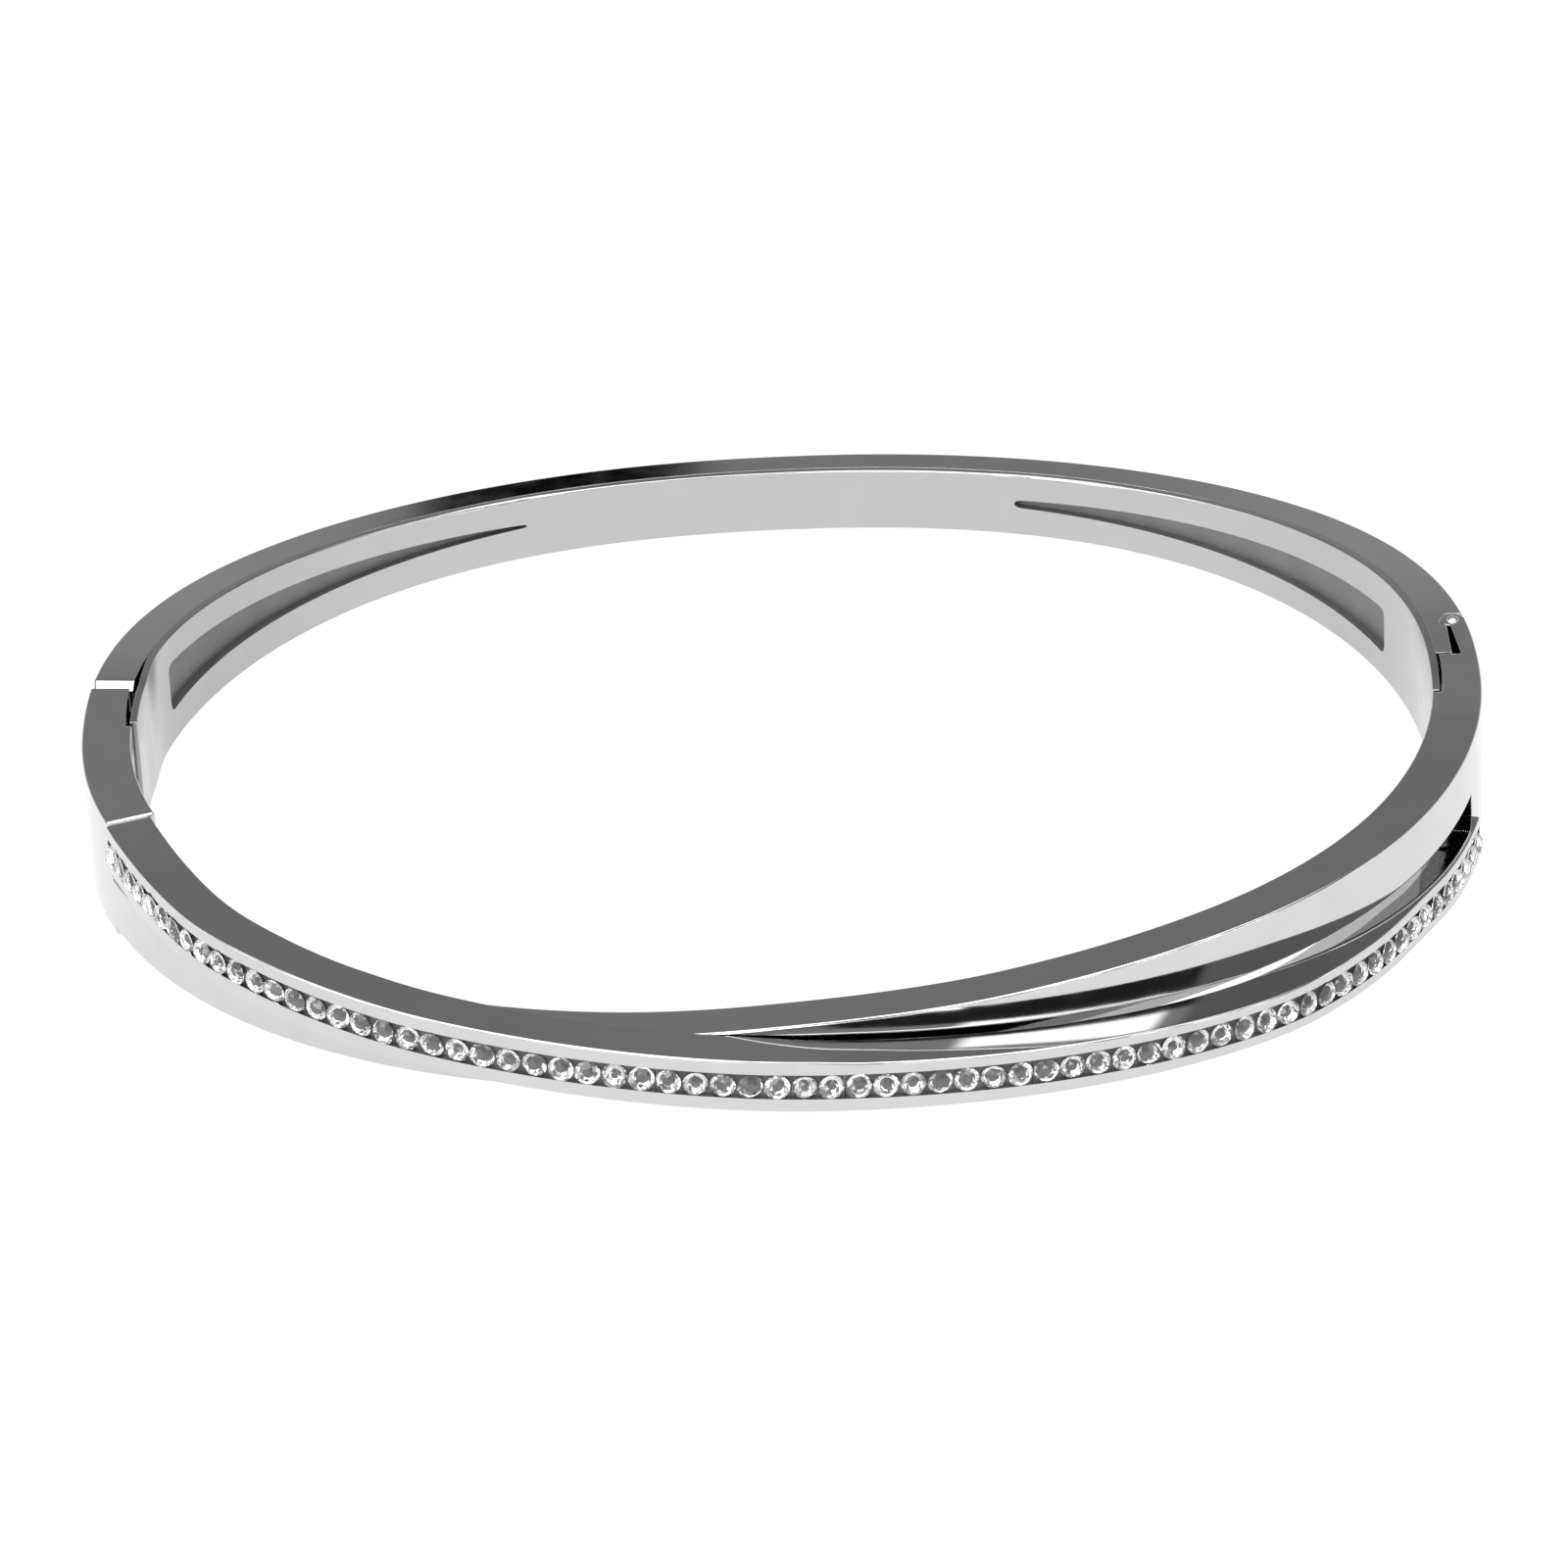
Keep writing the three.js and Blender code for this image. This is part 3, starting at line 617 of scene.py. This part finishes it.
tongue_spring = shape("clasp_tongue_spring_fine", eased(spring_free, spring_fold, 0.6, spring_ring, 0.05, 0.05))
rivets = [shape(n, across(5.9, z, 0.22, -1.72, -0.82)) for n, z in (("tongue_rivet_upper_fine", 0.55), ("tongue_rivet_lower_fine", -0.55))]
hinge_pin = shape("hinge_pin_fine", domed(PIN_X, PIN_Y, PIN_R, -END_HALF_HEIGHT + 0.02, END_HALF_HEIGHT, 0.15))

# ---- front half -----------------------------------------------------------------------------------
FRONT_EDGE = 0.1
BEVEL = 0.34


def front_ring(d, inset=0.0):
    thick = BAND_THICK_END - 0.1 * (1 - endness(d) ** 2)
    top = END_HALF_HEIGHT if d <= LEFT_BLOCK_END else along(PLAIN_TOP, d)
    bottom = -END_HALF_HEIGHT if d <= LEFT_BLOCK_END or d >= RIGHT_BLOCK_END else top - STRIP_HEIGHT
    if LEFT_BLOCK_END - BEVEL < d <= LEFT_BLOCK_END:  # bevel along the seam with the channel strip
        top -= 0.16 * (1 - math.sqrt(max(0.0, 1 - ((d - LEFT_BLOCK_END + BEVEL) / BEVEL) ** 2)))
    return rounded(-thick + inset, -inset, bottom + inset, top - inset, FRONT_EDGE)


start = clasp_front - 360
e = 0.07 / mm_per_deg(start)
front_rows = [(start, 0.07), (start + e * 0.3, 0.02), (start + e, 0.0)]
front_rows += [(a, 0.0) for a in stations(start + e, LEFT_BLOCK_END - BEVEL, 0.7)[1:]]
front_rows += [(LEFT_BLOCK_END - BEVEL * (1 - math.sin(math.radians(k * 15))), 0.0) for k in range(1, 7)]
front_rows += [(LEFT_BLOCK_END + 0.04, 0.0)] + [(a, 0.0) for a in stations(-161.2, RIGHT_BLOCK_END - 0.06, 0.7)]
front_rows += [(a, 0.0) for a in stations(RIGHT_BLOCK_END, 0, 0.7)] + [(a, 0.0) for a in stations(0.6, angle_at(PIN_Y, "hinge"), 0.7)]
front_inset = dict(front_rows)
front_frame = shape("front_frame_fine", sweep([a for a, _ in front_rows], lambda d: front_ring(d, front_inset[d])))


def leaf_room(d):
    """Room for the clasp leaf, narrowing towards its tip."""
    u = -1.76 - 0.16 * min(1.0, (d - clasp_front + 360) / (angle_at(-0.75, "clasp") - clasp_front))
    return [(-4, -TALL), (u, -TALL), (u, TALL), (-4, TALL)]


def slab(a, b, ui, uo, zb, zt, step=0.8):
    return sweep(stations(a, b, step), lambda d: [(ui, zb), (uo, zb), (uo, zt), (ui, zt)])


cut(front_frame,
    prism([(20, FLANGE_ROOT_Y), (30.29, FLANGE_ROOT_Y), (30.02, PIN_Y), (30.02, 9), (20, 9)], -TALL, TALL),
    slab(angle_at(LEAF_HINGE_Y - 0.35, "hinge"), 3, -4, -1.7, -TALL, TALL),
    sweep(stations(clasp_front - 361, angle_at(-0.75, "clasp") - 360, 0.8), leaf_room))
top_gap = KNUCKLE_SPLIT + KNUCKLE_GAP / 2
join(front_frame, post(PIN_X, PIN_Y, KNUCKLE, top_gap, END_HALF_HEIGHT), post(PIN_X, PIN_Y, KNUCKLE, -END_HALF_HEIGHT, -top_gap))
catch_x = on_oval(angle_at(2.1, "clasp"), -0.3).x
cut(front_frame,
    post(PIN_X, PIN_Y, PIN_BORE - 0.03, -TALL, TALL),
    prism([(28, 3.0), (33, 3.0), (33, 6), (28, 6)], -top_gap, top_gap),
    slab(clasp_front - 361, angle_at(-4.6, "clasp") - 360, -1.62, -0.45, -1.2, 1.2),
    slab(angle_at(-1.35, "clasp") - 360, angle_at(-5.95, "clasp") - 360, -4, -1.74, -1.9, 1.9),
    post(catch_x, 2.1, 0.17, -1.2, 1.2, 24))
cover_plate = shape("clasp_cover_plate_fine", eased(
    angle_at(-1.45, "clasp") - 360, angle_at(-5.35, "clasp") - 360, 0.8,
    lambda d, i: rounded(-2.18 + i, -1.82 - i * 0.4, -1.8 + i, 1.8 - i, 0.07), 0.08, 0.08))
catch_pin = shape("clasp_catch_pin_fine", post(catch_x, 2.1, 0.14, -1.1, 1.1, 24, 0.03))


def split_top(pts, level, parts=8):
    """Adds corners along the flat top of a section, so that it can be crowned."""
    out = []
    for i, (u, z) in enumerate(pts):
        out.append((u, z))
        v, w = pts[(i + 1) % len(pts)]
        if abs(z - level) < 1e-6 and abs(w - level) < 1e-6 and abs(u - v) > 0.5:
            out += [(u + (v - u) * k / parts, z) for k in range(1, parts)]
    return out


def channel_bar(grow, radii=None):
    def ring(d, inset=0.0):
        o, t = along(CHANNEL_OUT, d), along(CHANNEL_TOP, d)
        if grow:
            b, h = o - along(CHANNEL_THICK, d) - grow, t - along(CHANNEL_HEIGHT, d) - grow
            return [(b, h), (o + grow, h), (o + grow, t + grow), (b, t + grow)]
        merge = smooth((d + 132) / 5) * (1 - smooth((d + 93) / 4))  # ground flush with the plain strip where they cross
        inner = 0.07 * (1 - merge)
        pts = rounded(o - along(CHANNEL_THICK, d) + inset, o - inset, t - along(CHANNEL_HEIGHT, d) + inset, t - inset, (0.07, 0.08, 0.08, inner))
        # The top is slightly crowned where the strip stands clear, and more so towards the crossing.
        wide = along(CHANNEL_THICK, d)
        crown = (0.13 - 0.05 * smooth((d + 76) / 14)) * smooth((d + 89) / 6) * (1 - smooth((d + 50) / 10))
        return [(u, z - crown * ((u - o + wide) / wide - 0.18) ** 2 if z > t - 0.5 else z) for u, z in split_top(pts, t - inset)]
    return ring


cut(front_frame, sweep(stations(CH_FROM - 0.1, CH_TO, 0.8), channel_bar(0.012)))
channel = shape("stone_channel_fine", eased(CH_FROM, CH_TO, 0.7, channel_bar(0), 0.15, 0.08))


def mid_z(d):
    return along(CHANNEL_TOP, d) - along(CHANNEL_HEIGHT, d) / 2


def groove_ring(d):
    o, m = along(CHANNEL_OUT, d), mid_z(d)
    return [(o - GROOVE_DEPTH, m - GROOVE_HALF + 0.05), (o - 0.1, m - GROOVE_HALF), (o + 1, m - GROOVE_HALF - 0.03), (o + 1, m + GROOVE_HALF + 0.03),
            (o - 0.1, m + GROOVE_HALF), (o - GROOVE_DEPTH, m + GROOVE_HALF - 0.05)]


cut(channel, sweep(stations(CH_FROM + 0.35, CH_TO - 0.3, 0.8), groove_ring))

# Stones at an even pitch along the middle of the channel.
SINK = 0.1
first, last_angle, count_steps = CH_FROM + 1.45, CH_TO - 1.45, 6000
line, total, before = [], 0.0, None
for i in range(count_steps + 1):
    d = first + (last_angle - first) * i / count_steps
    p = on_oval(d, along(CHANNEL_OUT, d) - SINK, mid_z(d))
    if before is not None:
        total += (p - before).length
    line.append((total, d))
    before = p
stone_count = int(total // STONE_PITCH) + 1
pitch = total / (stone_count - 1)
stone_angles, k = [], 0
for i in range(stone_count):
    while k < count_steps and line[k][0] < i * pitch:
        k += 1
    stone_angles.append(line[k][1])


def stone_place(d, out):
    a = on_oval(d - 0.2, along(CHANNEL_OUT, d - 0.2), mid_z(d - 0.2))
    b = on_oval(d + 0.2, along(CHANNEL_OUT, d + 0.2), mid_z(d + 0.2))
    t = (b - a).normalized()
    n = Vector((t.y, -t.x, 0)).normalized()
    return frame_matrix(on_oval(d, along(CHANNEL_OUT, d) + out, mid_z(d)), n)


rng = random.Random(11)


def brilliant(rng):
    """Closed faceted stone, girdle at height 0 and table up, with its crown faces first. Returns vertices, faces, materials."""
    r = STONE_R
    table, star, table_z, star_z, girdle = 0.56 * r, 0.78 * r, 0.235, 0.15, 0.02
    pav_r, pav_z, culet = rng.uniform(0.4, 0.56) * r, rng.uniform(-0.24, -0.15), rng.uniform(-0.46, -0.33)
    v, f, m = [], [], []

    def ring(n, rad, z, phase):
        o = len(v)
        v.extend((rad * math.cos(math.radians(phase + 360 * i / n)), rad * math.sin(math.radians(phase + 360 * i / n)), z) for i in range(n))
        return o

    T, S, G, g = ring(8, table, table_z, 0), ring(8, star, star_z, 22.5), ring(16, r, girdle, 0), ring(16, r, -girdle, 0)
    P = ring(8, pav_r, pav_z, 22.5)
    v.append((rng.uniform(-0.05, 0.05), rng.uniform(-0.05, 0.05), culet))
    C = len(v) - 1
    f.append(tuple(T + i for i in range(8)))
    for i in range(8):
        j = (i + 1) % 8
        h = (i - 1) % 8
        f.append((T + i, S + i, T + j))  # star
        f.append((T + i, S + h, G + 2 * i, S + i))  # kite
        f.append((S + i, G + 2 * i, G + 2 * i + 1))
        f.append((S + i, G + 2 * i + 1, G + (2 * i + 2) % 16))
    for i in range(16):
        f.append((G + i, g + i, g + (i + 1) % 16, G + (i + 1) % 16))
    m += [0] * len(f)
    for i in range(8):
        h = (i - 1) % 8
        f.append((P + i, g + 2 * i + 1, g + 2 * i))
        f.append((P + i, g + (2 * i + 2) % 16, g + 2 * i + 1))
        f.append((P + h, P + i, g + 2 * i))
        f.append((P + h, C, P + i))
        m += [1, 1, 1, 1]
    return v, f, m


runs = []
for start_i in range(0, stone_count, STONES_PER_RUN):
    mine = stone_angles[start_i:start_i + STONES_PER_RUN]
    v, f, m = [], [], []
    for d in mine:
        tilt = Matrix.Rotation(math.radians(rng.uniform(-9, 9)), 4, "X") @ Matrix.Rotation(math.radians(rng.uniform(-9, 9)), 4, "Y")
        place = stone_place(d, -GIRDLE_SINK + rng.uniform(-0.02, 0.02)) @ tilt @ Matrix.Rotation(rng.uniform(0, math.pi), 4, "Z")
        cell_v, cell_f, cell_m = brilliant(rng)
        o = len(v)
        v += [place @ Vector(p) for p in cell_v]
        f += [tuple(o + k for k in face) for face in cell_f]
        m += cell_m
    ends = [stone_angles[start_i - 1] if start_i else mine[0] - 2.0, mine[0], mine[-1],
            stone_angles[start_i + len(mine)] if start_i + len(mine) < stone_count else mine[-1] + 2.0]
    # one bed of dark cement along the bottom of the groove and up between the stones
    bv, bf = sweep(stations((ends[0] + ends[1]) / 2 + 0.04, (ends[2] + ends[3]) / 2 - 0.04, 0.8), lambda d: [
        (along(CHANNEL_OUT, d) - u, mid_z(d) + z) for u, z in ((0.59, -0.54), (0.3, -0.57), (0.24, -0.4), (0.24, 0.4), (0.3, 0.57), (0.59, 0.54))])
    o = len(v)
    v += bv
    f += [tuple(o + k for k in face) for face in bf]
    m += [2] * len(bf)
    obj = shape("stone_run_%02d_fine" % (len(runs) + 1), (v, f))
    for p, index in zip(obj.data.polygons, m):
        p.material_index = index
    runs.append(obj)

# ---- place, finish and ride -------------------------------------------------------------------------
# The recess faces take the darker material, painted shade for the window recesses.
recess_faces(back_shell, 1, LINER + 0.01, LINER + 0.1)
recess_faces(back_liner, 1, 0.02, LINER - 0.02)
finish_piece(back_shell, "back_half", ["back_shell"], [POLISH_CUT, RECESS_SHADED])
finish_piece(back_liner, "back_half", ["back_liner"], [SATIN, RECESS_SHADED])
finish_piece(tongue_base, "back_half", ["clasp_tongue_base"], [SPRING])
finish_piece(tongue_spring, "clasp_leaf", ["clasp_tongue_spring"], [SPRING])
for rivet, node in zip(rivets, ("tongue_rivet_upper", "tongue_rivet_lower")):
    finish_piece(rivet, "back_half", [node], [HARD])
finish_piece(hinge_pin, "back_half", ["hinge_pin"], [HARD])
finish_piece(front_frame, "front_half", ["front_frame"], [POLISH_CUT])
finish_piece(cover_plate, "front_half", ["clasp_cover_plate"], [POLISH])
finish_piece(catch_pin, "front_half", ["clasp_catch_pin"], [HARD])
finish_piece(channel, "front_half", ["stone_channel"], [POLISH])
for i, obj in enumerate(runs):
    finish_piece(obj, "front_half", ["stone_run_%02d" % (i + 1)], [CROWN, FOIL, CEMENT], angle=5, weighted=False)


# ---- studio -----------------------------------------------------------------------------------------
def grey_math(tree):
    def value(op, a, b=None, clamp=False):
        n = tree.nodes.new("ShaderNodeMath")
        n.operation = op
        n.use_clamp = clamp
        for i, x in enumerate((a, b)):
            if x is None:
                continue
            if isinstance(x, (int, float)):
                n.inputs[i].default_value = x
            else:
                tree.links.new(x, n.inputs[i])
        return n.outputs[0]

    def step(x, a, b):
        n = tree.nodes.new("ShaderNodeMapRange")
        n.interpolation_type = "SMOOTHSTEP"
        n.inputs["From Min"].default_value, n.inputs["From Max"].default_value = a, b
        tree.links.new(x, n.inputs["Value"])
        return n.outputs["Result"]

    return value, step


def build_world():
    world = bpy.data.worlds.new("studio")
    bpy.context.scene.world = world
    world.use_nodes = True
    tree = world.node_tree
    tree.nodes.clear()
    value, step = grey_math(tree)
    sep = tree.nodes.new("ShaderNodeSeparateXYZ")
    tree.links.new(tree.nodes.new("ShaderNodeTexCoord").outputs["Generated"], sep.inputs[0])
    x, y, z = sep.outputs
    el = value("MULTIPLY", value("ARCSINE", z), 180 / math.pi)
    back_az = value("MULTIPLY", value("ARCTAN2", x, y), 180 / math.pi)  # 0 straight behind the object, + to the right
    front_az = value("MULTIPLY", value("ARCTAN2", x, value("MULTIPLY", y, -1)), 180 / math.pi)

    def patch(az, a0, a1, e0, e1, sa, se):
        m = value("MULTIPLY", step(az, a0 - sa, a0 + sa), value("SUBTRACT", 1, step(az, a1 - sa, a1 + sa)))
        n = value("MULTIPLY", step(el, e0 - se, e0 + se), value("SUBTRACT", 1, step(el, e1 - se, e1 + se)))
        return value("MULTIPLY", m, n)

    def mix(base, level, mask):
        return value("ADD", value("MULTIPLY", base, value("SUBTRACT", 1, mask)), value("MULTIPLY", mask, level))

    ramp = tree.nodes.new("ShaderNodeValToRGB")
    ramp.color_ramp.interpolation = "LINEAR"
    stops = [(0, 0.78), (8, 0.68), (16, 0.44), (21, 0.335), (23, 0.31), (25.5, 0.25), (28, 0.255), (30, 0.235), (34, 0.21), (44, 0.2), (52, 0.32), (60, 1.5), (72, 2.6), (90, 2.6)]
    els = ramp.color_ramp.elements
    els[0].position, els[1].position = 0, 1
    for deg, level in stops:
        stop = els[0] if deg == 0 else els[-1] if deg == 90 else els.new(deg / 90)
        stop.color = (level, level, level, 1)
    tree.links.new(value("DIVIDE", el, 90, True), ramp.inputs["Fac"])
    level = ramp.outputs["Color"]
    bw = tree.nodes.new("ShaderNodeRGBToBW")
    tree.links.new(level, bw.inputs[0])
    level = bw.outputs[0]
    is_front = step(y, 0.25, -0.25)
    # The rest of the front is a broken-up bank of small lamps and dark flags: it gives the stones their sparkle.
    cells = tree.nodes.new("ShaderNodeTexVoronoi")
    cells.inputs["Scale"].default_value = 9
    tree.links.new(sep.inputs[0].links[0].from_socket, cells.inputs["Vector"])
    pick = tree.nodes.new("ShaderNodeSeparateColor")
    tree.links.new(cells.outputs["Color"], pick.inputs[0])
    lamps = value("ADD", 0.03, value("MULTIPLY", step(pick.outputs[0], 0.5, 0.56), value("ADD", 1.4, value("MULTIPLY", pick.outputs[1], 6.0))))
    front = mix(level, lamps, patch(front_az, -100, 100, 4, 64, 4, 3))
    front = mix(front, 0.2, patch(front_az, -2, 104, 18, 46, 2, 2))
    front = mix(front, 0.42, patch(front_az, -4, 57, 29.5, 47, 2, 0.3))
    front = mix(front, 0.02, patch(front_az, -2, 57, 18, 29.3, 1.5, 0.3))
    front = mix(front, 2.6, patch(front_az, 21, 52, 29.5, 36, 1.5, 0.3))  # softbox to the front right
    front = mix(front, 2.2, patch(front_az, -54, -32, 20, 44, 2, 2))  # softbox to the front left
    level = mix(level, front, is_front)
    level = mix(level, 0.0, patch(back_az, -3.2, -1.0, 24.85, 27.6, 0.2, 0.15))
    bg = tree.nodes.new("ShaderNodeBackground")
    combine = tree.nodes.new("ShaderNodeCombineColor")
    for i in range(3):
        tree.links.new(level, combine.inputs[i])
    tree.links.new(combine.outputs[0], bg.inputs["Color"])
    out = tree.nodes.new("ShaderNodeOutputWorld")
    tree.links.new(bg.outputs[0], out.inputs["Surface"])


build_world()


def build_floor():
    n, rings_r = 96, [0.0, 0.05, 0.1, 0.2, 0.4, 0.8, 1.6, 3.2]
    verts, faces = [(0, 0, 0)], []
    for r in rings_r[1:]:
        verts += [(r * math.cos(2 * math.pi * k / n), r * math.sin(2 * math.pi * k / n), 0) for k in range(n)]
    faces += [(0, 1 + k, 1 + (k + 1) % n) for k in range(n)]
    for i in range(len(rings_r) - 2):
        a, b = 1 + i * n, 1 + (i + 1) * n
        faces += [(a + k, b + k, b + (k + 1) % n, a + (k + 1) % n) for k in range(n)]
    floor = shape("floor_disc", (verts, faces))
    floor.location = (0, 0, -0.00002)
    mat, tree = nodes_of("floor_paper")
    # Painted light: the floor glows, evenly near the bangle and dimmer beyond 0.16 m, a painted pool of light over a
    # dark grey diffuse paper.
    new, link = tree.nodes.new, tree.links.new
    out, add, painted_glow, paper = new("ShaderNodeOutputMaterial"), new("ShaderNodeAddShader"), new("ShaderNodeEmission"), new("ShaderNodeBsdfDiffuse")
    link(painted_glow.outputs[0], add.inputs[0])
    link(paper.outputs[0], add.inputs[1])
    link(add.outputs[0], out.inputs["Surface"])
    at = new("ShaderNodeTexCoord").outputs["Object"]
    length = new("ShaderNodeVectorMath")
    length.operation = "LENGTH"
    link(at, length.inputs[0])
    light_pool_fade = new("ShaderNodeMapRange")
    light_pool_fade.interpolation_type = "SMOOTHSTEP"
    light_pool_fade.inputs["From Min"].default_value, light_pool_fade.inputs["From Max"].default_value = 0.16, 0.6
    light_pool_fade.inputs["To Min"].default_value, light_pool_fade.inputs["To Max"].default_value = 0.94, 0.66
    link(length.outputs["Value"], light_pool_fade.inputs["Value"])
    link(light_pool_fade.outputs["Result"], painted_glow.inputs["Strength"])
    noise = new("ShaderNodeTexNoise")
    noise.inputs["Scale"].default_value = 300
    link(at, noise.inputs["Vector"])
    tone = new("ShaderNodeValToRGB")
    tone.color_ramp.elements[0].color = (0.1, 0.1, 0.1, 1)
    tone.color_ramp.elements[1].color = (0.14, 0.14, 0.14, 1)
    link(noise.outputs["Fac"], tone.inputs["Fac"])
    link(tone.outputs["Color"], paper.inputs["Color"])
    floor.data.materials.append(mat)


build_floor()

# ---- camera -----------------------------------------------------------------------------------------
EL, AZ, ROLL, DISTANCE, FOCAL, CX, CY = map(float, (28.0, 0.4075, -2.7707, 0.341609, 7823.48, 799.0, 759.13))
el, az, roll = math.radians(EL), math.radians(AZ), math.radians(ROLL)
turn = Matrix.Rotation(az, 3, "Z")
F = turn @ Vector((0, math.cos(el), -math.sin(el)))
U = turn @ Vector((0, math.sin(el), math.cos(el)))
R = turn @ Vector((1, 0, 0))
right, up = R * math.cos(roll) + U * math.sin(roll), U * math.cos(roll) - R * math.sin(roll)
cam_data = bpy.data.cameras.new("camera")
cam = bpy.data.objects.new("camera", cam_data)
bpy.context.scene.collection.objects.link(cam)
place = Vector((0, OVAL_CENTRE_Y * 0.001, END_HALF_HEIGHT * 0.001)) - F * DISTANCE
cam.matrix_world = Matrix(((right.x, up.x, -F.x, place.x), (right.y, up.y, -F.y, place.y), (right.z, up.z, -F.z, place.z), (0, 0, 0, 1)))
cam_data.sensor_width = 36
cam_data.lens = FOCAL / 1600 * 36
cam_data.shift_x = (800 - CX) / 1600
cam_data.shift_y = (CY - 800) / 1600
cam_data.clip_start, cam_data.clip_end = 0.01, 20
cam_data.dof.use_dof = False
scene = bpy.context.scene
scene.camera = cam
scene.view_settings.view_transform = "Standard"
scene.view_settings.look = "None"
